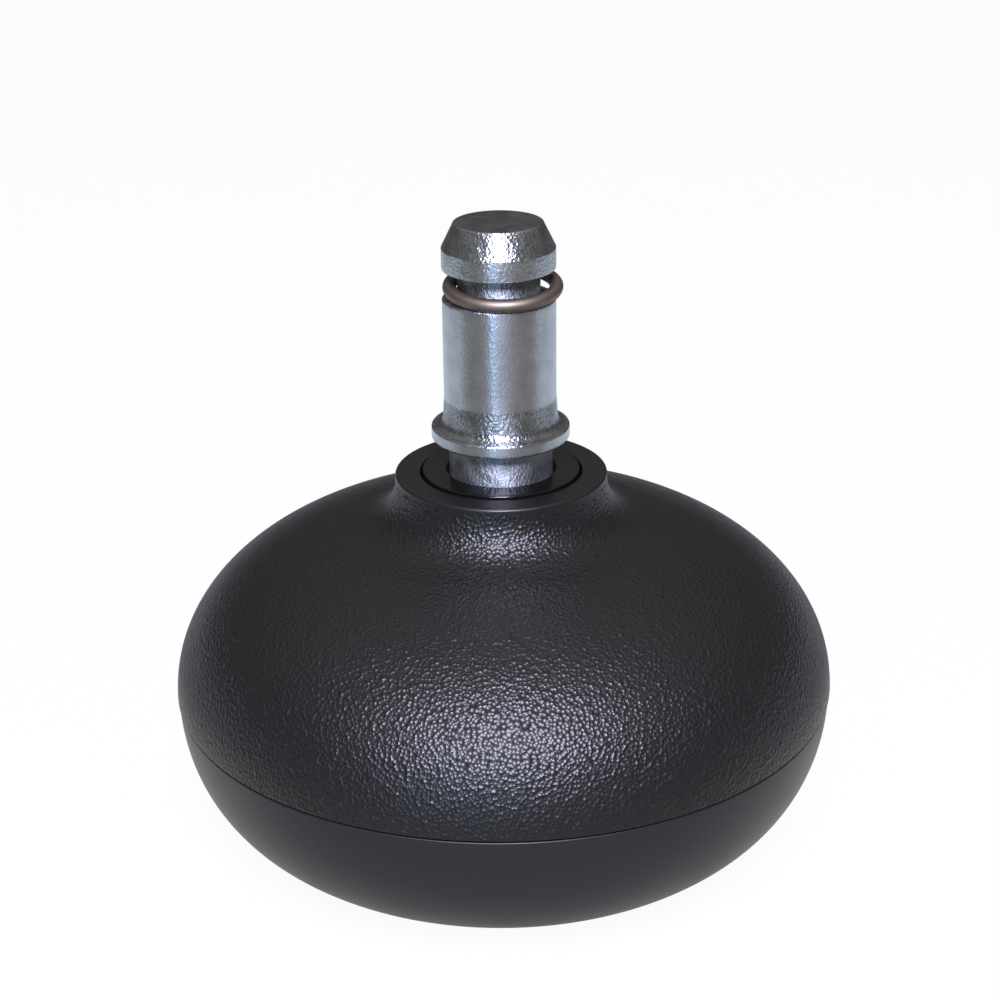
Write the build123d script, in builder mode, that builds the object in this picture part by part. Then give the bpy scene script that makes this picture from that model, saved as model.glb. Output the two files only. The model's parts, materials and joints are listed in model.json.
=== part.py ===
"""Bell glide for an office chair: a steel grip-ring stem pressed into a hollow black foot.

The foot is two mouldings. The sole is a smooth bowl whose central post holds the stem and carries
the chair. The bell is a grained cover that drops over the post and snaps onto the sole's rim, so
the post's end shows as a ring inside the neck. A loose split ring sits in the stem's groove and
grips the chair's socket. Units are millimetres. The origin is on the floor, on the stem's axis.
"""
import os
from math import cos, radians, sin, tan

from build123d import *

# Foot, outside
body_radius = 33.35
seam_height = 17.4
seam_step = 0.12
seam_round = 0.2
flat_radius = 12.0
sole_side_handle = 9.3
sole_floor_handle = 15.2
dome_rise = 16.7
dome_side_handle = 7.6
dome_crown_handle = 12.0
dome_slope = 12.0
flare_radius = 15.2
neck_radius = 10.52
neck_rise = 5.6
rim_land = 0.5
rim_round = 0.3

# Foot, inside
bell_wall = 2.6
sole_wall = 3.0
post_radius = 7.8
post_gap = 0.25
post_proud = 0.25
post_round = 0.15
sleeve_wall = 2.0
sleeve_length = 9.0
rib_count = 6
rib_width = 1.8
rib_gap = 2.0
spigot_height = 3.2
spigot_root = 5.0
spigot_wall = 1.8
spigot_gap = 0.12
bead_radius = 0.6
bead_bury = 0.3
bead_height = 1.7

# Stem, from the tip down
stem_radius = 5.5
tip_chamfer_width = 1.2
tip_chamfer_height = 2.45
tip_round = 0.2
head_height = 2.05
groove_height = 2.9
groove_depth = 1.5
shank_length = 9.85
foot_height = 3.05
foot_step = 0.2
collar_fillet = 0.9
collar_height = 1.3
collar_overhang = 1.3
collar_round = 0.3
edge_round = 0.15
neck_length = 3.6
tail_radius = 5.1
tail_depth = 24.0
tail_lead = 0.6
barb_count = 4
barb_pitch = 4.0
barb_groove_width = 1.2
barb_groove_depth = 0.35
press_gap = 0.02
mouth_chamfer = 0.4
core_radius = 3.0

# Grip ring
wire_radius = 0.66
ring_proud = 0.2
ring_lean = 5.0
ring_gap_angle = 24.0
ring_play = 0.03

# Heights that follow
dome_top = seam_height + dome_rise
neck_top = dome_top + neck_rise
post_top = neck_top + post_proud
collar_bottom = neck_top + neck_length
collar_top = collar_bottom + collar_height
shank_bottom = collar_top + foot_height
shank_top = shank_bottom + shank_length
head_bottom = shank_top + groove_height
head_top = head_bottom + head_height
tip = head_top + tip_chamfer_height
tail_end = post_top - tail_depth

# Radii that follow
sole_radius = body_radius - seam_step
neck_bore = post_radius + post_gap
sleeve_radius = neck_bore + sleeve_wall
socket_radius = body_radius - bell_wall
spigot_radius = socket_radius - spigot_gap
foot_radius = stem_radius + foot_step
collar_radius = stem_radius + collar_overhang
groove_radius = stem_radius - groove_depth
bore_radius = tail_radius + press_gap
ring_radius = stem_radius + ring_proud - wire_radius


def dome_points(inset):
    """Control points of the bell's side, from the seam up to the neck's flare, moved in by a wall."""
    slope = radians(dome_slope)
    edge = (flare_radius - inset * sin(slope), dome_top - inset * cos(slope))
    crown = (edge[0] + dome_crown_handle * cos(slope), edge[1] - dome_crown_handle * sin(slope))
    side = body_radius - inset
    return [(side, seam_height), (side, seam_height + dome_side_handle), crown, edge]


def bowl_points(inset):
    """Control points of the sole's side, from its flat up to the seam, moved in by a wall."""
    side = sole_radius - inset
    return [
        (flat_radius, inset),
        (flat_radius + sole_floor_handle, inset),
        (side, seam_height - sole_side_handle),
        (side, seam_height),
    ]


def circle_edge(solid, radius, height):
    """The round edge nearest to a radius and a height."""
    edges = solid.edges().filter_by(GeomType.CIRCLE)
    return min(edges, key=lambda edge: abs(edge.radius - radius) + abs(edge.arc_center.Z - height))


# Bell: the cavity under the dome, less the sleeve round the post and the ribs that stay in it
sleeve_bottom = dome_top - sleeve_length
rib_bottom = seam_height + spigot_height + rib_gap
with BuildPart() as cavity:
    with BuildSketch(Plane.XZ):
        with BuildLine():
            inner_dome = Bezier(*dome_points(bell_wall))
            Line(inner_dome @ 1, (0, (inner_dome @ 1).Y))
            Line((0, (inner_dome @ 1).Y), (0, seam_height))
            Line((0, seam_height), inner_dome @ 0)
        make_face()
    revolve(axis=Axis.Z)
    with BuildSketch(Plane.XY.offset(seam_height)):
        Circle(socket_radius)
    extrude(amount=spigot_height + spigot_gap)
    with BuildSketch(Plane.XY.offset(sleeve_bottom)):
        Circle(sleeve_radius)
    extrude(amount=sleeve_length, mode=Mode.SUBTRACT)
    with BuildSketch(Plane.XY.offset(rib_bottom)):
        with PolarLocations(0, rib_count):
            Rectangle(body_radius, rib_width, align=(Align.MIN, Align.CENTER))
    extrude(amount=dome_rise, mode=Mode.SUBTRACT)

with BuildPart() as bell:
    with BuildSketch(Plane.XZ):
        with BuildLine():
            dome = Bezier(*dome_points(0))
            flare_corner = (neck_radius, dome_top + (flare_radius - neck_radius) * tan(radians(dome_slope)))
            flare = Bezier(dome @ 1, flare_corner, (neck_radius, neck_top - rim_land))
            Polyline(flare @ 1, (neck_radius, neck_top), (0, neck_top), (0, seam_height), dome @ 0)
        make_face()
    revolve(axis=Axis.Z)
    add(cavity.part, mode=Mode.SUBTRACT)
    with BuildSketch(Plane.XY.offset(seam_height)):
        Circle(neck_bore)
    extrude(amount=neck_top - seam_height, mode=Mode.SUBTRACT)
    with Locations((0, 0, seam_height + bead_height)):
        Torus(spigot_radius - bead_bury, bead_radius + spigot_gap, mode=Mode.SUBTRACT)
    fillet(circle_edge(bell, neck_radius, neck_top), rim_round)
    fillet(circle_edge(bell, body_radius, seam_height), seam_round)
bell.part.label = "bell"

# Sole: the hollow inside the bowl, less the post and the ribs that stay in it
with BuildPart() as hollow:
    with BuildSketch(Plane.XZ):
        with BuildLine():
            inner_bowl = Bezier(*bowl_points(sole_wall))
            Polyline(inner_bowl @ 1, (0, seam_height), (0, sole_wall), inner_bowl @ 0)
        make_face()
    revolve(axis=Axis.Z)
    with BuildSketch():
        Circle(post_radius)
        with PolarLocations(0, rib_count):
            Rectangle(body_radius, rib_width, align=(Align.MIN, Align.CENTER))
    extrude(amount=seam_height - rib_gap, mode=Mode.SUBTRACT)

with BuildPart() as sole:
    with BuildSketch(Plane.XZ):
        with BuildLine():
            bowl = Bezier(*bowl_points(0))
            Polyline(bowl @ 1, (0, seam_height), (0, 0), bowl @ 0)
        make_face()
    revolve(axis=Axis.Z)
    fillet(circle_edge(sole, sole_radius, seam_height), seam_round)
    add(hollow.part, mode=Mode.SUBTRACT)
    with BuildSketch(Plane.XY.offset(seam_height - spigot_root)):
        Circle(spigot_radius)
        Circle(spigot_radius - spigot_wall, mode=Mode.SUBTRACT)
    extrude(amount=spigot_root + spigot_height)
    with Locations((0, 0, seam_height + bead_height)):
        Torus(spigot_radius - bead_bury, bead_radius)
    with BuildSketch(Plane.XY.offset(sole_wall)):
        Circle(post_radius)
    extrude(amount=post_top - sole_wall)
    with Locations(Plane.XY.offset(post_top)):
        CounterBoreHole(core_radius, bore_radius, tail_depth, post_top - sole_wall)
    chamfer(circle_edge(sole, bore_radius, post_top), mouth_chamfer)
    fillet(circle_edge(sole, post_radius, post_top), post_round)
sole.part.label = "sole"

# Stem: one turned piece, with grooves along the tail that the post's plastic grips
with BuildPart() as stem:
    with BuildSketch(Plane.XZ):
        with BuildLine():
            Polyline(
                (0, tail_end),
                (tail_radius - tail_lead, tail_end),
                (tail_radius, tail_end + tail_lead),
                (tail_radius, collar_bottom),
                (collar_radius, collar_bottom),
                (collar_radius, collar_top),
                (foot_radius, collar_top),
                (foot_radius, shank_bottom - foot_step),
                (stem_radius, shank_bottom),
                (stem_radius, shank_top),
                (groove_radius, shank_top),
                (groove_radius, head_bottom),
                (stem_radius, head_bottom),
                (stem_radius, head_top),
                (stem_radius - tip_chamfer_width, tip),
                (0, tip),
                close=True,
            )
        make_face()
    revolve(axis=Axis.Z)
    for barb in range(barb_count):
        with BuildSketch(Plane.XY.offset(tail_end + (barb + 1) * barb_pitch)):
            Circle(tail_radius)
            Circle(tail_radius - barb_groove_depth, mode=Mode.SUBTRACT)
        extrude(amount=barb_groove_width, mode=Mode.SUBTRACT)
    for radius, height, rounding in (
        (collar_radius, collar_bottom, collar_round),
        (collar_radius, collar_top, edge_round),
        (foot_radius, collar_top, collar_fillet),
        (stem_radius, shank_top, edge_round),
        (stem_radius, head_bottom, edge_round),
        (stem_radius, head_top, edge_round),
        (stem_radius - tip_chamfer_width, tip, tip_round),
    ):
        fillet(circle_edge(stem, radius, height), rounding)
stem.part.label = "stem"

# Grip ring: split wire that leans in the groove, down on the shank at the front, split behind
ring_height = shank_top + ring_play + wire_radius + ring_radius * sin(radians(ring_lean))
ring_plane = Plane((0, 0, ring_height)).rotated((ring_lean, 0, 0))
ring_axis = Axis(ring_plane.origin, ring_plane.z_dir)
wire_start = ring_plane.x_dir.rotate(Axis((0, 0, 0), ring_plane.z_dir), 90 + ring_gap_angle / 2)
wire_plane = Plane(ring_plane.origin, x_dir=wire_start, z_dir=wire_start.cross(ring_plane.z_dir))
with BuildPart() as grip_ring:
    with BuildSketch(wire_plane):
        with Locations((ring_radius, 0)):
            Circle(wire_radius)
    revolve(axis=ring_axis, revolution_arc=360 - ring_gap_angle)
grip_ring.part.label = "grip_ring"

os.makedirs("parts", exist_ok=True)
export_step(stem.part, "parts/stem.step")
export_step(grip_ring.part, "parts/grip_ring.step")
export_step(bell.part, "parts/bell.step")
export_step(sole.part, "parts/sole.step")
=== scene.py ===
"""Looks of the bell glide: a grained black bell, its smooth sole, a zinc-plated stem and a brown ring.

Every piece is a profile carried round the stem's axis. Profiles are in millimetres, as
(radius, height) above the floor. Meshes are in metres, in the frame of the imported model.
"""
import json
from math import cos, pi, radians, sin, tan

import bpy
import numpy as np
from mathutils import Matrix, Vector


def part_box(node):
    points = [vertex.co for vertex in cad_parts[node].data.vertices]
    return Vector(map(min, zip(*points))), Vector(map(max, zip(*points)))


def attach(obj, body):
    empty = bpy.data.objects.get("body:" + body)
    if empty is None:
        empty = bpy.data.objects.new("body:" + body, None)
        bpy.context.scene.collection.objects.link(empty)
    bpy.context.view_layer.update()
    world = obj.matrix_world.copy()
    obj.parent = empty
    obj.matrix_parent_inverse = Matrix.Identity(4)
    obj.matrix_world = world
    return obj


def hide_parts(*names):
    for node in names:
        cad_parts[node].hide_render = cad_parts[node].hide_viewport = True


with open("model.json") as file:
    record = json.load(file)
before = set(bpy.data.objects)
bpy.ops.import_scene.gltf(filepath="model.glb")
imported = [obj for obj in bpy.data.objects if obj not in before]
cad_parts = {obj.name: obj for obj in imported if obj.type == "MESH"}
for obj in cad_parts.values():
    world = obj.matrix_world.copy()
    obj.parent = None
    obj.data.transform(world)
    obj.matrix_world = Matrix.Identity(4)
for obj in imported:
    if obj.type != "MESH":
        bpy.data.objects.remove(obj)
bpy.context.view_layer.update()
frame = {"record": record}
MM = 0.001

# Sizes read from the frame, in millimetres
bell_low, bell_high = (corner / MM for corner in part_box("bell"))
sole_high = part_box("sole")[1] / MM
stem_low, stem_high = (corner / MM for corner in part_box("stem"))
ring_low, ring_high = (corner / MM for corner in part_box("grip_ring"))
body_radius = bell_high.x
seam_height = bell_low.z
neck_top = bell_high.z
sole_radius = sole_high.x
post_top = sole_high.z
collar_radius = stem_high.x
tail_end = stem_low.z
tip = stem_high.z
mounts = {mount["name"]: mount for mount in frame["record"]["mounts"]}
stem_radius = mounts["stem"]["dims"]["r_mm"]

# Foot, outside
seam_gap = 0.2
seam_round = 0.12
flat_radius = 12.0
sole_side_handle = 9.3
sole_floor_handle = 15.2
neck_rise = 5.6
dome_side_handle = 7.6
dome_crown_handle = 12.0
dome_slope = radians(12.0)
flare_radius = 15.2
neck_radius = 10.52
rim_land = 0.5
rim_round = 0.3
dome_top = neck_top - neck_rise

# Foot, inside
bell_wall = 2.6
sole_wall = 3.0
post_radius = 7.8
post_round = 0.15
neck_bore = 8.05
bore_round = 0.1
sleeve_radius = 10.05
sleeve_length = 9.0
rib_count = 6
rib_width = 1.8
rib_draft = 0.05
rib_gap = 2.0
spigot_height = 3.2
spigot_root = 5.0
spigot_wall = 1.8
spigot_gap = 0.12
spigot_round = 0.3
bead_radius = 0.6
bead_bury = 0.3
bead_height = 1.7
bore_radius = 5.12
mouth_chamfer = 0.4
core_radius = 3.0

# Stem, from the tip down
tip_chamfer_width = 1.2
tip_chamfer_height = 2.45
tip_round = 0.2
head_height = 2.05
groove_height = 2.9
groove_depth = 1.5
groove_round = 0.1
shank_length = 9.85
foot_height = 3.05
foot_step = 0.2
collar_fillet = 0.9
collar_height = 1.3
collar_round = 0.3
edge_round = 0.15
neck_round = 0.2
tail_radius = 5.1
tail_lead = 0.6
barb_count = 4
barb_pitch = 4.0
barb_groove_width = 1.2
barb_groove_depth = 0.35

# Stem's surface, both from 0 to 1: how coarse the tool left it, and how much it is darkened
head_cut = 0.35
turned_cut = 0.75
coarse_cut = 1.0
# Darkening on the neck is painted shade under the collar; the foot and the tip's end are drawn darker
neck_painted_shade = 0.15
foot_darkening = 0.45
end_darkening = 0.8

# Grip ring: free of any socket, it leans down at the front and hangs to the front and right
wire_radius = 0.66
wire_end_round = 0.12
ring_radius = 5.14
ring_lean = radians(5.0)
ring_gap_angle = radians(24.0)
ring_aside = 0.38
ring_forward = 0.25

# How finely the profiles are divided
ARC_STEPS = 8
CURVE_STEPS = 80
LONGEST_STEP = 0.4
COLUMNS = 192
WIRE_STEPS = 32
SHARP_EDGE = radians(32)

# Lengths in millimetres that count as none, as the same point and as the same surface
NO_LENGTH = 1e-9
SAME_POINT = 1e-6
SAME_SURFACE = 1e-3

# Refractive index of ABS
ABS_IOR = 1.54


def bezier(points):
    """A Bezier curve: each control point is weighted by its Bernstein polynomial."""
    t = np.linspace(0, 1, CURVE_STEPS)[:, None]
    if len(points) == 3:
        weights = np.hstack([(1 - t) ** 2, 2 * t * (1 - t), t ** 2])
    else:
        weights = np.hstack([(1 - t) ** 3, 3 * t * (1 - t) ** 2, 3 * t ** 2 * (1 - t), t ** 3])
    return weights @ np.array(points)


def soft_corners(corners, closed):
    """Rounds each corner (r, z, radius) by an arc that touches both of its sides.

    The arc's centre lies on the corner's bisector, radius / sin(half angle) away, and the arc turns
    evenly from one touching point to the other. A corner of radius 0 stays a single point.
    """
    corners = np.array(corners, float)
    point, radius = corners[:, :2], corners[:, 2:]
    to_last = np.roll(point, 1, axis=0) - point
    to_next = np.roll(point, -1, axis=0) - point
    to_last /= np.linalg.norm(to_last, axis=1, keepdims=True)
    to_next /= np.linalg.norm(to_next, axis=1, keepdims=True)
    angle = np.arccos(np.clip((to_last * to_next).sum(1, keepdims=True), -1, 1))
    straight = radius == 0
    half = np.where(straight, pi / 4, angle / 2)
    bisector = to_last + to_next
    bisector /= np.maximum(np.linalg.norm(bisector, axis=1, keepdims=True), NO_LENGTH)
    centre = point + bisector * radius / np.sin(half)
    start = point + to_last * radius / np.tan(half) - centre
    end = point + to_next * radius / np.tan(half) - centre
    turn = (pi - 2 * half)[:, None]
    t = np.linspace(0, 1, ARC_STEPS)[None, :, None]
    arc = (np.sin((1 - t) * turn) * start[:, None] + np.sin(t * turn) * end[:, None]) / np.sin(turn)
    keep = np.ones(arc.shape[:2], bool)
    keep[straight[:, 0], 1:] = False
    if not closed:
        keep[[0, -1], 1:] = False
        arc[[0, -1], 0] = (point - centre)[[0, -1]]
    return (centre[:, None] + arc)[keep]


def divided(outline, closed):
    """Splits each straight run into equal steps of at most LONGEST_STEP, so that shading stays even."""
    ends = np.roll(outline, -1, axis=0)
    if not closed:
        outline, ends, last = outline[:-1], ends[:-1], outline[-1:]
    runs = np.linalg.norm(ends - outline, axis=1)
    counts = np.maximum(np.ceil(runs / LONGEST_STEP).astype(int), 1)
    starts = np.repeat(outline, counts, axis=0)
    steps = np.repeat(ends - outline, counts, axis=0)
    first = np.repeat(np.cumsum(counts) - counts, counts)
    share = (np.arange(counts.sum()) - first) / np.repeat(counts, counts)
    points = starts + steps * share[:, None]
    return points if closed else np.vstack([points, last])


def quilt(number, closed):
    """Faces between neighbouring rows and columns of numbered points; columns go right round.

    A row whose points share one number is a pole, and the faces beside it are triangles. A closed
    grid joins its last row to its first. The points in use are numbered afresh.
    """
    low = number if closed else number[:-1]
    high = np.roll(number, -1, axis=0) if closed else number[1:]
    sides = [low, np.roll(low, -1, axis=1), np.roll(high, -1, axis=1), high]
    quads = np.stack(sides, axis=-1).reshape(-1, 4)
    from_pole = quads[:, 0] == quads[:, 1]
    to_pole = quads[:, 2] == quads[:, 3]
    used, fresh = np.unique(number, return_inverse=True)
    renumber = np.zeros(number.max() + 1, int)
    renumber[number.ravel()] = fresh.ravel()
    faces = renumber[quads[~from_pole & ~to_pole]].tolist()
    faces += renumber[quads[from_pole][:, [0, 2, 3]]].tolist()
    faces += renumber[quads[to_pole][:, [0, 1, 2]]].tolist()
    return used, faces


def carried_round(radius, height, angle, closed):
    """Points (radius cos angle, radius sin angle, height): rows follow the profile, columns turn."""
    rows, columns = np.broadcast_shapes(radius.shape, height.shape, angle.shape)
    radius, height, angle = (np.broadcast_to(a, (rows, columns)) for a in (radius, height, angle))
    points = np.stack([radius * np.cos(angle), radius * np.sin(angle), height], axis=-1)
    number = np.arange(rows * columns).reshape(rows, columns)
    on_axis = radius.max(axis=1) < SAME_POINT
    number = np.where(on_axis[:, None], number[:, :1], number)
    used, faces = quilt(number, closed)
    return points.reshape(-1, 3)[used], faces


def make_piece(name, points, faces, material, node):
    """Puts a surface into a mesh, smooth but for its sharp edges, in place of a node."""
    mesh = bpy.data.meshes.new(name)
    mesh.from_pydata((points * MM).tolist(), [], faces)
    mesh.polygons.foreach_set("use_smooth", np.ones(len(mesh.polygons), bool))
    mesh.set_sharp_from_angle(angle=SHARP_EDGE)
    mesh.materials.append(material)
    piece = bpy.data.objects.new(name, mesh)
    bpy.context.scene.collection.objects.link(piece)
    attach(piece, "root")
    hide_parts(node)
    return piece


def mark(piece, name, values):
    """Keeps one number per point on a piece, for its material to read."""
    attribute = piece.data.attributes.new(name, "FLOAT", "POINT")
    attribute.data.foreach_set("value", values.astype(np.float32))


def bell_dome(inset):
    """The bell's side, from the seam up to the neck's flare, moved in by a wall."""
    edge = (flare_radius - inset * sin(dome_slope), dome_top - inset * cos(dome_slope))
    crown_out = dome_crown_handle * cos(dome_slope)
    crown_down = dome_crown_handle * sin(dome_slope)
    side = body_radius - inset
    return bezier([
        (side, seam_height),
        (side, seam_height + dome_side_handle),
        (edge[0] + crown_out, edge[1] - crown_down),
        edge,
    ])


def sole_bowl(inset):
    """The sole's side, from its flat up to the seam, moved in by a wall."""
    side = sole_radius - inset
    return bezier([
        (flat_radius, inset),
        (flat_radius + sole_floor_handle, inset),
        (side, seam_height - sole_side_handle),
        (side, seam_height),
    ])


def sharp_points(outline):
    """Outline points with no rounding."""
    return np.hstack([outline, np.zeros((len(outline), 1))]).tolist()


def half_round(radius, height, size, way):
    """A half circle of points about (radius, height), away from the axis, going up or down."""
    t = np.linspace(-pi / 2, pi / 2, 2 * ARC_STEPS)[::way]
    return np.stack([radius + size * np.cos(t), height + size * np.sin(t)], axis=1)


def ribbed(outline, first, last, level, closed):
    """The profile carried round, with ribs: in a rib, the run from first to last is flat at a level.

    A rib keeps its width, so its sides stand at the angle asin(half width / radius) from its
    middle, and the columns between two ribs share the rest of the turn evenly. Inside the core,
    which has no ribs, the columns run straight to the axis.
    """
    in_rib = outline.copy()
    in_rib[first:last + 1, 0] = np.linspace(outline[first, 0], outline[last, 0], last + 1 - first)
    in_rib[first:last + 1, 1] = level
    half = rib_width / 2
    offsets = np.array([-half - rib_draft, -half, 0, half, half + rib_draft])
    has_rib = np.array([False, True, True, True, False])
    plain = COLUMNS // rib_count - len(offsets)
    share = np.arange(1, plain + 1) / (plain + 1)
    reach = np.where(has_rib, in_rib[:, :1], outline[:, :1])
    sides = np.arcsin(offsets / np.maximum(reach, core_radius))
    start = sides[:, -1:]
    sector = 2 * pi / rib_count
    between = start + (sector - 2 * start) * share
    one = np.hstack([sides, between])
    turns = np.arange(rib_count) * sector
    angle = (turns[None, :, None] + one[:, None, :]).reshape(len(outline), -1)
    columns = np.tile(np.r_[has_rib, np.zeros(plain, bool)], rib_count)
    radius = np.where(columns, in_rib[:, :1], outline[:, :1])
    height = np.where(columns, in_rib[:, 1:], outline[:, 1:])
    return carried_round(radius, height, angle, closed)


def nearest(outline, radius, height):
    """The outline's point nearest to a place."""
    return int(np.hypot(outline[:, 0] - radius, outline[:, 1] - height).argmin())


def make_bell(material):
    """Dome, flared neck and crisp rim outside; bore, sleeve, ribs and snap socket inside."""
    corner = (neck_radius, dome_top + (flare_radius - neck_radius) * tan(dome_slope))
    flare = bezier([(flare_radius, dome_top), corner, (neck_radius, neck_top - rim_land)])
    inner = bell_dome(bell_wall)
    socket_radius = body_radius - bell_wall
    socket_top = seam_height + spigot_height + spigot_gap
    sleeve_bottom = dome_top - sleeve_length
    inner_wall = inner[inner[:, 1] > socket_top][::-1]
    bead_middle = socket_radius - spigot_gap - bead_bury
    groove = half_round(bead_middle, seam_height + bead_height, bead_radius + spigot_gap, -1)
    groove = groove[groove[:, 0] > socket_radius]
    corners = [(body_radius, seam_height, seam_round)]
    corners += sharp_points(bell_dome(0)[1:-1])
    corners += sharp_points(flare)
    corners += [
        (neck_radius, neck_top, rim_round),
        (neck_bore, neck_top, bore_round),
        (neck_bore, sleeve_bottom, 0),
        (sleeve_radius, sleeve_bottom, 0),
        (sleeve_radius, inner[-1, 1], 0),
    ]
    corners += sharp_points(inner_wall)
    corners += [(inner_wall[-1, 0], socket_top, 0), (socket_radius, socket_top, 0)]
    corners += sharp_points(groove)
    corners += [(socket_radius, seam_height, 0)]
    outline = divided(soft_corners(corners, True), True)
    rib_bottom = seam_height + spigot_height + rib_gap
    wall = inner_wall[np.abs(inner_wall[:, 1] - rib_bottom).argmin()]
    first = nearest(outline, neck_bore, sleeve_bottom)
    last = nearest(outline, *wall)
    points, faces = ribbed(outline, first, last, rib_bottom, True)
    piece = make_piece("bell_moulding", points, faces, material, "bell")
    below_rim = np.clip((neck_top - rim_round - points[:, 2]) / rim_land, 0, 1)
    outside = np.hypot(points[:, 0], points[:, 1]) > neck_bore + rim_land
    mark(piece, "grain", below_rim * outside)


def make_sole(material):
    """Flat and bowl outside; spigot with bead, ribs, and the post with the stem's bore inside."""
    inner = sole_bowl(sole_wall)[::-1]
    spigot_radius = body_radius - bell_wall - spigot_gap
    spigot_inside = spigot_radius - spigot_wall
    spigot_top = seam_height + spigot_height
    root = seam_height - spigot_root
    inner = inner[(inner[:, 1] < root) & (inner[:, 0] < spigot_inside)]
    bead = half_round(spigot_radius - bead_bury, seam_height + bead_height, bead_radius, 1)
    bead = bead[bead[:, 0] > spigot_radius]
    shoulder = seam_height - seam_gap
    bowl = sole_bowl(0)
    bowl = bowl[bowl[:, 1] < shoulder - seam_round]
    corners = [(0, 0, 0)]
    corners += sharp_points(bowl)
    corners += [(sole_radius, shoulder, seam_round), (spigot_radius, shoulder, 0)]
    corners += sharp_points(bead)
    corners += [
        (spigot_radius, spigot_top, spigot_round),
        (spigot_inside, spigot_top, spigot_round),
        (spigot_inside, root, 0),
    ]
    corners += sharp_points(inner)
    corners += [
        (post_radius, sole_wall, 0),
        (post_radius, post_top, post_round),
        (bore_radius + mouth_chamfer, post_top, 0),
        (bore_radius, post_top - mouth_chamfer, 0),
        (bore_radius, tail_end, 0),
        (core_radius, tail_end, 0),
        (core_radius, sole_wall, 0),
        (0, sole_wall, 0),
    ]
    outline = divided(soft_corners(corners, False), False)
    rib_top = seam_height - rib_gap
    first = nearest(outline, spigot_inside, rib_top)
    last = nearest(outline, post_radius, rib_top)
    points, faces = ribbed(outline, first, last, rib_top, False)
    piece = make_piece("sole_moulding", points, faces, material, "sole")
    on_post = np.hypot(points[:, 0], points[:, 1]) < neck_bore
    mark(piece, "gloss", on_post & (points[:, 2] > neck_top - post_round))


def make_stem(material, end_material):
    """One turned piece: barbed tail, collar filleted into its foot, shank, ring groove, chamfered head.

    Two numbers are kept per point. How coarse the tool left it: nothing on the rolled shank and the
    collar's edge, a little on the head's wall, all in the groove and on the neck. How much darker it
    is drawn: on the neck under the collar as painted shade, and on the foot and the tip.
    """
    head_top = tip - tip_chamfer_height
    head_bottom = head_top - head_height
    shank_top = head_bottom - groove_height
    shank_bottom = shank_top - shank_length
    collar_top = shank_bottom - foot_height
    collar_bottom = collar_top - collar_height
    groove_radius = stem_radius - groove_depth
    foot_radius = stem_radius + foot_step
    barb_radius = tail_radius - barb_groove_depth
    corners = [
        (0, tail_end, 0),
        (tail_radius - tail_lead, tail_end, 0),
        (tail_radius, tail_end + tail_lead, 0),
    ]
    for barb in range(barb_count):
        bottom = tail_end + (barb + 1) * barb_pitch
        top = bottom + barb_groove_width
        corners += [(tail_radius, bottom, 0), (barb_radius, bottom, 0)]
        corners += [(barb_radius, top, 0), (tail_radius, top, 0)]
    corners += [
        (tail_radius, collar_bottom, neck_round),
        (collar_radius, collar_bottom, collar_round),
        (collar_radius, collar_top, edge_round),
        (foot_radius, collar_top, collar_fillet),
        (stem_radius, shank_bottom, 0),
        (stem_radius, shank_top, edge_round),
        (groove_radius, shank_top, groove_round),
        (groove_radius, head_bottom, groove_round),
        (stem_radius, head_bottom, edge_round),
        (stem_radius, head_top, edge_round),
        (stem_radius - tip_chamfer_width, tip, tip_round),
        (0, tip, 0),
    ]
    outline = divided(soft_corners(corners, False), False)
    angle = np.linspace(0, 2 * pi, COLUMNS, endpoint=False)[None]
    points, faces = carried_round(outline[:, :1], outline[:, 1:], angle, False)
    piece = make_piece("stem_turned", points, faces, material, "stem")
    reach = np.hypot(points[:, 0], points[:, 1])
    level = points[:, 2]
    in_groove = (level > shank_top - edge_round) & (level < head_bottom + edge_round)
    on_neck = level < collar_bottom - neck_round / 2
    on_foot = (level > collar_top) & (level < shank_bottom)
    on_end = np.abs(level - tip) < SAME_POINT
    rolled = (np.abs(reach - stem_radius) < SAME_SURFACE) & ~in_groove
    rolled |= np.abs(reach - collar_radius) < SAME_SURFACE
    wall_cut = np.where(level > head_bottom, head_cut, 0)
    other_cut = np.where(in_groove | on_neck, coarse_cut, turned_cut)
    mark(piece, "cut", np.where(rolled, wall_cut, other_cut))
    # Painted shade on the neck under the collar; the foot and the tip's end are drawn darker too
    mark(piece, "thin", neck_painted_shade * on_neck + foot_darkening * on_foot + end_darkening * on_end)
    piece.data.materials.append(end_material)
    middles = np.empty(3 * len(faces), np.float32)
    piece.data.polygons.foreach_get("center", middles)
    end_faces = np.abs(middles[2::3] / MM - tip) < SAME_SURFACE
    piece.data.polygons.foreach_set("material_index", end_faces.astype(np.int32))


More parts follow.
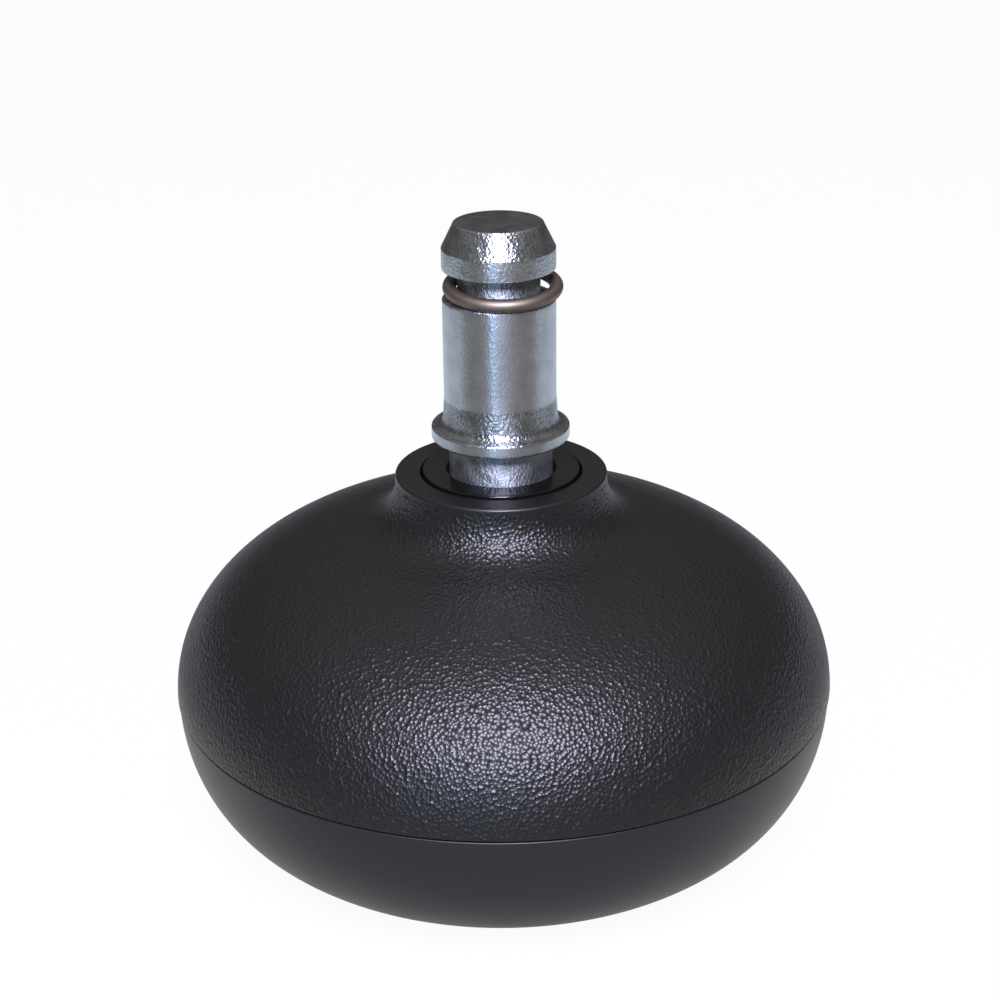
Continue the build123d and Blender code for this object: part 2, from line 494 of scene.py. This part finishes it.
def make_ring(material):
    """Split wire ring: a small circle carried round a larger one, tilted, set aside, with closed ends.

    Before the tilt a point is ((R + w cos s) cos t, (R + w cos s) sin t, w sin s). The wire's own
    radius w falls to nothing over each cut end, and at the end's edge it is less by the rounding.
    """
    half_turn = pi - ring_gap_angle / 2
    inside_end = half_turn - wire_end_round / ring_radius
    along = np.linspace(-inside_end, inside_end, COLUMNS)
    along = np.r_[-half_turn, -half_turn, along, half_turn, half_turn]
    wire = np.full(len(along), wire_radius)
    wire[[0, -1]] = 0
    wire[[1, -2]] = wire_radius - wire_end_round
    t = (along - pi / 2)[:, None]
    s = np.linspace(0, -2 * pi, WIRE_STEPS, endpoint=False)[None]
    radius = ring_radius + wire[:, None] * np.cos(s)
    height = wire[:, None] * np.sin(s)
    flat = np.stack(np.broadcast_arrays(radius * np.cos(t), radius * np.sin(t), height), axis=-1)
    lean_cos = cos(ring_lean)
    lean_sin = sin(ring_lean)
    tilt = np.array([[1, 0, 0], [0, lean_cos, -lean_sin], [0, lean_sin, lean_cos]])
    middle = np.array([ring_aside, -ring_forward, (ring_low.z + ring_high.z) / 2])
    points = (flat @ tilt.T + middle).reshape(-1, 3)
    number = np.arange(len(points)).reshape(flat.shape[:2])
    number[[0, -1]] = number[[0, -1], :1]
    used, faces = quilt(number, False)
    make_piece("grip_ring_wire", points[used], faces, material, "grip_ring")


def linear(code):
    """An sRGB hex colour as linear red, green, blue and a full alpha."""
    srgb = np.array([int(code[i:i + 2], 16) for i in (1, 3, 5)]) / 255
    value = np.where(srgb <= 0.04045, srgb / 12.92, ((srgb + 0.055) / 1.055) ** 2.4)
    return (*value.tolist(), 1.0)


def add_node(tree, kind, values=(), links=(), **settings):
    """Adds a node: settings are its fields, values its constant inputs, links what feeds its inputs."""
    node = tree.nodes.new(kind)
    for field, value in settings.items():
        setattr(node, field, value)
    for socket, value in dict(values).items():
        node.inputs[socket].default_value = value
    for socket, source in dict(links).items():
        tree.links.new(source, node.inputs[socket])
    return node


def start_material(name, **values):
    """A material with a single Principled shader, its constant sockets set."""
    material = bpy.data.materials.new(name)
    material.use_nodes = True
    tree = material.node_tree
    shader = tree.nodes["Principled BSDF"]
    for socket, value in values.items():
        shader.inputs[socket.replace("_", " ")].default_value = value
    return material, tree, shader


def cells_per_metre(size_mm):
    """The scale of a pattern whose cells measure size_mm."""
    return 1 / (size_mm * MM)


def grained_abs():
    """ABS from a spark-eroded mould: black, with a grain of small craters, each a spark in a highlight.

    A crater rises with the square of the distance from its middle. The grain fades out at the rim.
    """
    crater_size = 0.36
    crater_depth = 0.09
    material, tree, shader = start_material(
        "abs_spark_eroded_grain", Base_Color=linear("#141211"), Roughness=0.37, IOR=ABS_IOR)
    place = add_node(tree, "ShaderNodeTexCoord").outputs["Object"]
    cells = {"Scale": cells_per_metre(crater_size)}
    reach = add_node(tree, "ShaderNodeTexVoronoi", cells, {"Vector": place}).outputs["Distance"]
    crater = add_node(
        tree, "ShaderNodeMath", links={0: reach, 1: reach}, operation="MULTIPLY").outputs[0]
    amount = add_node(tree, "ShaderNodeAttribute", attribute_name="grain").outputs["Fac"]
    height = add_node(
        tree, "ShaderNodeMath", links={0: crater, 1: amount}, operation="MULTIPLY").outputs[0]
    depth = {"Strength": 1.0, "Distance": crater_depth * MM}
    bump = add_node(tree, "ShaderNodeBump", depth, {"Height": height}).outputs[0]
    tree.links.new(bump, shader.inputs["Normal"])
    return material


def smooth_abs():
    """ABS from a polished mould: satin black with slight flow marks; the post's end face is glossy."""
    flow_size = 9.0
    satin_range = {"To Min": 0.36, "To Max": 0.48}
    glossy = {"B": 0.16}
    blacks = {"A": linear("#1c191a"), "B": linear("#080707")}
    material, tree, shader = start_material("abs_polished_mould", IOR=ABS_IOR)
    place = add_node(tree, "ShaderNodeTexCoord").outputs["Object"]
    marks = {"Scale": cells_per_metre(flow_size), "Detail": 3.0}
    flow = add_node(tree, "ShaderNodeTexNoise", marks, {"Vector": place}).outputs["Fac"]
    satin = add_node(tree, "ShaderNodeMapRange", satin_range, {"Value": flow}).outputs[0]
    gloss = add_node(tree, "ShaderNodeAttribute", attribute_name="gloss").outputs["Fac"]
    rough = add_node(
        tree, "ShaderNodeMix", glossy, {"Factor": gloss, "A": satin}, data_type="FLOAT")
    tree.links.new(rough.outputs["Result"], shader.inputs["Roughness"])
    colour = add_node(tree, "ShaderNodeMix", blacks, {"Factor": gloss}, data_type="RGBA")
    tree.links.new(colour.outputs["Result"], shader.inputs["Base Color"])
    return material


def zinc_steel(name, streak):
    """Steel with bright blue zinc plate: rolled smooth on the shank, mottled where the tool has cut.

    The lathe's fine rings spread a reflection up and down, so the round walls show upright streaks.
    Under the collar the plate is darkened as painted shade, and it is drawn darker on the foot and on
    the tip too. Its crystals are too fine to show, so they are drawn coarser.
    """
    crystal_size = 0.3
    cloud_size = 1.6
    cloud_range = {"From Min": 0.35, "From Max": 0.65}
    rolled_colours = {"A": linear("#bcc2c6"), "B": linear("#cdd2d5")}
    cut_colours = {"A": linear("#989da0"), "B": linear("#cad0d3")}
    darkening_tint = {"B": linear("#c2c0be")}
    only_coarsest = {1: 8.0}
    rough_range = {"To Min": 0.3, "To Max": 0.62}
    bump_range = {"To Min": 0.022 * MM, "To Max": 0.11 * MM}
    quarter_turn = 0.25
    material, tree, shader = start_material(
        name, Metallic=1.0, Anisotropic=streak, Anisotropic_Rotation=quarter_turn)
    place = add_node(tree, "ShaderNodeTexCoord").outputs["Object"]
    cut = add_node(tree, "ShaderNodeAttribute", attribute_name="cut").outputs["Fac"]
    crystals = {"Scale": cells_per_metre(crystal_size), "Detail": 1.0, "Roughness": 0.5}
    mottle = add_node(tree, "ShaderNodeTexNoise", crystals, {"Vector": place}).outputs["Fac"]
    clouds = {"Scale": cells_per_metre(cloud_size), "Detail": 3.0}
    cloud = add_node(tree, "ShaderNodeTexNoise", clouds, {"Vector": place}).outputs["Fac"]
    spread = add_node(tree, "ShaderNodeMapRange", cloud_range, {"Value": cloud}).outputs[0]
    rolled_plate = add_node(
        tree, "ShaderNodeMix", rolled_colours, {"Factor": spread}, data_type="RGBA").outputs["Result"]
    cut_plate = add_node(
        tree, "ShaderNodeMix", cut_colours, {"Factor": spread}, data_type="RGBA").outputs["Result"]
    plates = {"Factor": cut, "A": rolled_plate, "B": cut_plate}
    plate = add_node(tree, "ShaderNodeMix", links=plates, data_type="RGBA").outputs["Result"]
    # Darkening multiplied in: painted shade on the neck, and drawn darker on the foot and the tip
    thin = add_node(tree, "ShaderNodeAttribute", attribute_name="thin").outputs["Fac"]
    colour = add_node(tree, "ShaderNodeMix", darkening_tint, {"Factor": thin, "A": plate},
                      data_type="RGBA", blend_type="MULTIPLY")
    tree.links.new(colour.outputs["Result"], shader.inputs["Base Color"])
    torn = add_node(tree, "ShaderNodeMath", only_coarsest, {0: cut}, operation="POWER").outputs[0]
    rough = add_node(tree, "ShaderNodeMapRange", rough_range, {"Value": torn}).outputs[0]
    tree.links.new(rough, shader.inputs["Roughness"])
    depth = add_node(tree, "ShaderNodeMapRange", bump_range, {"Value": cut}).outputs[0]
    relief = {"Height": mottle, "Distance": depth}
    bump = add_node(tree, "ShaderNodeBump", {"Strength": 1.0}, relief).outputs[0]
    tree.links.new(bump, shader.inputs["Normal"])
    tangent = add_node(tree, "ShaderNodeTangent", direction_type="RADIAL", axis="Z").outputs[0]
    tree.links.new(tangent, shader.inputs["Tangent"])
    return material


def spring_wire():
    """Oil-tempered spring wire: brown oxide over drawn steel, with a coppery sheen."""
    patch_size = 1.2
    browns = {"A": linear("#82766b"), "B": linear("#a09285")}
    material, tree, shader = start_material(
        "oil_tempered_spring_wire", Metallic=1.0, Roughness=0.52)
    place = add_node(tree, "ShaderNodeTexCoord").outputs["Object"]
    patches = {"Scale": cells_per_metre(patch_size), "Detail": 3.0}
    oxide = add_node(tree, "ShaderNodeTexNoise", patches, {"Vector": place}).outputs["Fac"]
    colour = add_node(tree, "ShaderNodeMix", browns, {"Factor": oxide}, data_type="RGBA")
    tree.links.new(colour.outputs["Result"], shader.inputs["Base Color"])
    return material


def make_floor():
    """A white sheet that fills the view. It looks white to the camera and keeps part of the shadow.

    In reflections it is painted grey instead: painted shade at the part's foot, darker in front than at
    its sides, then a grey ring of painted shade round the part, then painted shade in front and a pale
    blue painted reflection behind, and far off as dim as the room.
    """
    reach = 20.0
    shadow_kept = 0.05
    # Ranges in metres: along Y from front to back, or away from the part's axis
    foot_to_side = {"From Min": -0.036, "From Max": -0.008}
    foot_edge = {"From Min": 0.075, "From Max": 0.055}
    ring_edge = {"From Min": 0.085, "From Max": 0.11}
    sheet_to_back = {"From Min": -0.06, "From Max": -0.01}
    room_edge = {"From Min": 0.2, "From Max": 0.34}
    # Painted shade and painted reflection, seen only in reflections: the viewer's shade in front, the
    # part's shade round its foot, pale blue behind, the dim room far off
    foot_painted_shade = {"A": linear("#a8a5a5"), "B": linear("#f6f3f3")}
    ring_painted_shade = {"A": linear("#8d8a8a")}
    sheet_painted_reflection = {"A": linear("#8d897f"), "B": linear("#d9e2f0")}
    far_painted_shade = {"B": linear("#5e5b5a")}
    white = {"A": linear("#ffffff")}

    mesh = bpy.data.meshes.new("floor")
    corners = [(-reach, -reach, 0), (reach, -reach, 0), (reach, reach, 0), (-reach, reach, 0)]
    mesh.from_pydata(corners, [], [(0, 1, 2, 3)])
    floor = bpy.data.objects.new("floor", mesh)
    bpy.context.scene.collection.objects.link(floor)
    material, tree, shader = start_material(
        "white_paper_sheet", Base_Color=linear("#ededed"), Roughness=0.9)
    path = add_node(tree, "ShaderNodeLightPath").outputs
    bounced = {0: path["Is Glossy Ray"], 1: path["Is Transmission Ray"]}
    mirrored = add_node(tree, "ShaderNodeMath", links=bounced, operation="MAXIMUM").outputs[0]
    looks = {0: path["Is Camera Ray"], 1: mirrored}
    seen = add_node(tree, "ShaderNodeMath", links=looks, operation="MAXIMUM").outputs[0]
    lit = {1: 1 - shadow_kept}
    share = add_node(tree, "ShaderNodeMath", lit, {0: seen}, operation="MULTIPLY").outputs[0]

    place = add_node(tree, "ShaderNodeTexCoord").outputs["Object"]
    along = add_node(tree, "ShaderNodeSeparateXYZ", links={0: place}).outputs["Y"]
    away = add_node(
        tree, "ShaderNodeVectorMath", links={0: place}, operation="LENGTH").outputs["Value"]
    at_back = add_node(tree, "ShaderNodeMapRange", sheet_to_back, {"Value": along}).outputs[0]
    at_side = add_node(tree, "ShaderNodeMapRange", foot_to_side, {"Value": along}).outputs[0]
    at_foot = add_node(tree, "ShaderNodeMapRange", foot_edge, {"Value": away}).outputs[0]
    past_ring = add_node(tree, "ShaderNodeMapRange", ring_edge, {"Value": away}).outputs[0]
    far_off = add_node(tree, "ShaderNodeMapRange", room_edge, {"Value": away}).outputs[0]
    sheet = add_node(
        tree, "ShaderNodeMix", sheet_painted_reflection, {"Factor": at_back}, data_type="RGBA").outputs["Result"]
    outer = add_node(tree, "ShaderNodeMix", far_painted_shade, {"Factor": far_off, "A": sheet},
                     data_type="RGBA").outputs["Result"]
    ringed = add_node(tree, "ShaderNodeMix", ring_painted_shade, {"Factor": past_ring, "B": outer},
                      data_type="RGBA").outputs["Result"]
    foot = add_node(
        tree, "ShaderNodeMix", foot_painted_shade, {"Factor": at_side}, data_type="RGBA").outputs["Result"]
    painted_reflection = add_node(tree, "ShaderNodeMix", links={"Factor": at_foot, "A": ringed, "B": foot},
                     data_type="RGBA").outputs["Result"]
    colour = add_node(tree, "ShaderNodeMix", white, {"Factor": mirrored, "B": painted_reflection},
                      data_type="RGBA").outputs["Result"]
    glow = add_node(tree, "ShaderNodeEmission", links={"Color": colour}).outputs[0]
    both = {0: share, 1: shader.outputs[0], 2: glow}
    mixed = add_node(tree, "ShaderNodeMixShader", links=both).outputs[0]
    tree.links.new(mixed, tree.nodes["Material Output"].inputs["Surface"])
    mesh.materials.append(material)


def make_lamp(name, azimuth, elevation, distance, width, height, power, colour):
    """A soft rectangular light, turned to the middle of the part from an azimuth and a height angle."""
    middle = Matrix.Translation((0, 0, 0.035))
    data = bpy.data.lights.new(name, "AREA")
    data.shape = "RECTANGLE"
    data.size = width
    data.size_y = height
    data.energy = power
    data.color = linear(colour)[:3]
    lamp = bpy.data.objects.new(name, data)
    turn = Matrix.Rotation(azimuth, 4, "Z") @ Matrix.Rotation(pi / 2 - elevation, 4, "X")
    lamp.matrix_world = middle @ turn @ Matrix.Translation((0, 0, distance))
    bpy.context.scene.collection.objects.link(lamp)


def make_world():
    """A dim, slightly warm room with a paler ceiling."""
    wall_to_ceiling = {"From Min": 0.2, "From Max": 0.9}
    greys = {"A": linear("#4e4b4a"), "B": linear("#a9a6a4")}
    world = bpy.data.worlds.new("room")
    bpy.context.scene.world = world
    world.use_nodes = True
    tree = world.node_tree
    way = add_node(tree, "ShaderNodeTexCoord").outputs["Generated"]
    up = add_node(tree, "ShaderNodeSeparateXYZ", links={0: way}).outputs["Z"]
    height = add_node(tree, "ShaderNodeMapRange", wall_to_ceiling, {"Value": up}).outputs[0]
    room = add_node(
        tree, "ShaderNodeMix", greys, {"Factor": height}, data_type="RGBA").outputs["Result"]
    tree.links.new(room, tree.nodes["Background"].inputs["Color"])


def make_camera():
    """The photograph's view: its height, distance and angles, and its lens."""
    place = Matrix.Translation((0, -0.190, 0.11503))
    turn = Matrix.Rotation(radians(0.046), 4, "Z")
    drop = Matrix.Rotation(pi / 2 - radians(22.489), 4, "X")
    roll = Matrix.Rotation(radians(-0.726), 4, "Z")
    data = bpy.data.cameras.new("view")
    data.sensor_width = 36.0
    data.lens = 74.1
    data.clip_start = 0.01
    camera = bpy.data.objects.new("view", data)
    camera.matrix_world = place @ (turn @ drop) @ roll
    bpy.context.scene.collection.objects.link(camera)
    bpy.context.scene.camera = camera


bpy.context.scene.view_settings.view_transform = "Standard"
make_bell(grained_abs())
make_sole(smooth_abs())
turned_steel = zinc_steel("zinc_plated_turned_steel", streak=0.7)
faced_steel = zinc_steel("zinc_plated_faced_steel", streak=0.0)
make_stem(turned_steel, faced_steel)
make_ring(spring_wire())
make_floor()
make_lamp("flash", azimuth=radians(1), elevation=radians(44), distance=0.6,
          width=0.16, height=0.16, power=7.0, colour="#e4e2ff")
make_lamp("window", azimuth=radians(-12), elevation=radians(9), distance=0.8,
          width=0.04, height=0.3, power=1.25, colour="#a6d1ff")
make_world()
make_camera()
